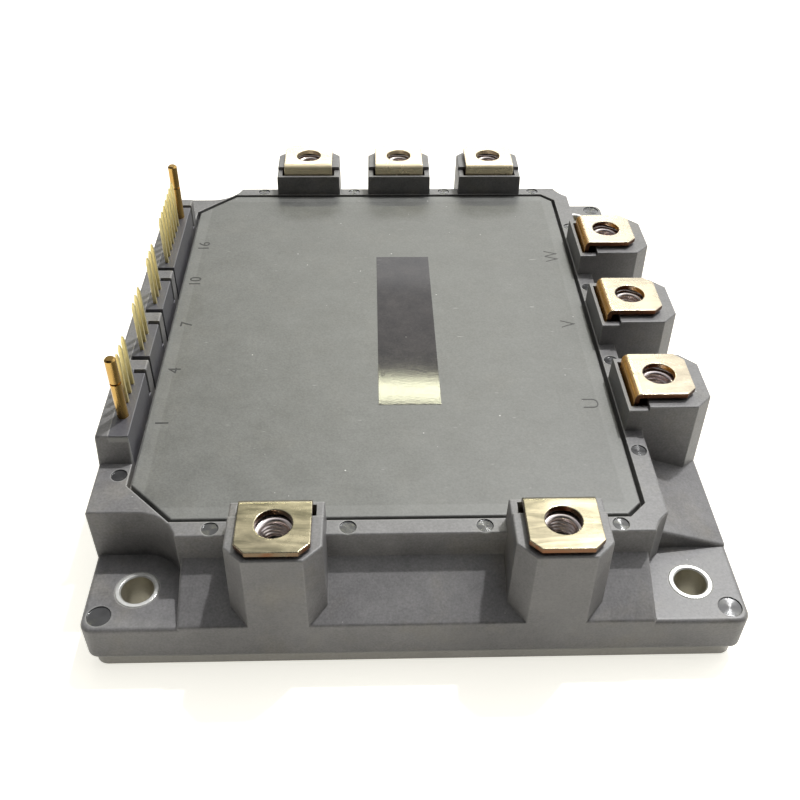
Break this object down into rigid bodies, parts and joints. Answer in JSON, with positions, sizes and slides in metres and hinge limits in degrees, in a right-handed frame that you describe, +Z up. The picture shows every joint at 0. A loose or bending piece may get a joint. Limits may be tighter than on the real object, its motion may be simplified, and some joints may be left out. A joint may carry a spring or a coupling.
{
  "type": "igbt module",
  "caption": "Flat black power transistor module with a flush lid, raised screw terminals on three sides, and upright control and guide pins on the fourth.",
  "frame": {"origin": "centre of the base plate's underside", "axes": "+X from the pin side to the output terminals, +Y along the module from the front terminals to the back ones, +Z up from the base plate to the pin tips"},
  "size_m": [0.11, 0.136, 0.0399],
  "materials": {
    "case_plastic": "fine moulded texture, black, matt",
    "lid_plastic": "fine moulded texture, black, matt, with dust specks",
    "carrier_plastic": "moulded, black, smoother than the case",
    "label_gloss": "glossy dark film, bare",
    "base_metal": "nickel-plated copper, dull grey",
    "bush_nickel": "bright nickel plate",
    "nut_steel": "bright plated steel",
    "terminal_plating": "pale plated copper with scratches and warm edges",
    "pin_gold": "pale gold plate",
    "guide_brass": "turned brass, darker than the control pins",
    "substrate_ceramic": "white ceramic faced with metal",
    "chip_silicon": "polished silicon",
    "board_green": "printed board with solder mask",
    "driver_epoxy": "moulded epoxy",
    "gel_silicone": "soft clear silicone gel"
  },
  "bodies": {
    "root": {"base_plate": "base_metal", "bush_back_left": "bush_nickel", "bush_back_right": "bush_nickel", "bush_front_left": "bush_nickel", "bush_front_right": "bush_nickel", "case": "case_plastic", "control_board": "board_green", "control_pin_01": "pin_gold", "control_pin_02": "pin_gold", "control_pin_03": "pin_gold", "control_pin_04": "pin_gold", "control_pin_05": "pin_gold", "control_pin_06": "pin_gold", "control_pin_07": "pin_gold", "control_pin_08": "pin_gold", "control_pin_09": "pin_gold", "control_pin_10": "pin_gold", "control_pin_11": "pin_gold", "control_pin_12": "pin_gold", "control_pin_13": "pin_gold", "control_pin_14": "pin_gold", "control_pin_15": "pin_gold", "control_pin_16": "pin_gold", "diode_chips": "chip_silicon", "driver_chips": "driver_epoxy", "gel": "gel_silicone", "guide_pin_back": "guide_brass", "guide_pin_front": "guide_brass", "igbt_chips": "chip_silicon", "label_film": "label_gloss", "lid": "lid_plastic", "link_pins": "pin_gold", "nut_back_left": "nut_steel", "nut_back_middle": "nut_steel", "nut_back_right": "nut_steel", "nut_front_left": "nut_steel", "nut_front_right": "nut_steel", "nut_output_u": "nut_steel", "nut_output_v": "nut_steel", "nut_output_w": "nut_steel", "pin_carrier_01_03": "carrier_plastic", "pin_carrier_04_06": "carrier_plastic", "pin_carrier_07_09": "carrier_plastic", "pin_carrier_10_16": "carrier_plastic", "substrate_u": "substrate_ceramic", "substrate_v": "substrate_ceramic", "substrate_w": "substrate_ceramic", "terminal_back_left": "terminal_plating", "terminal_back_middle": "terminal_plating", "terminal_back_right": "terminal_plating", "terminal_front_left": "terminal_plating", "terminal_front_right": "terminal_plating", "terminal_output_u": "terminal_plating", "terminal_output_v": "terminal_plating", "terminal_output_w": "terminal_plating"}
  },
  "joints": []
}
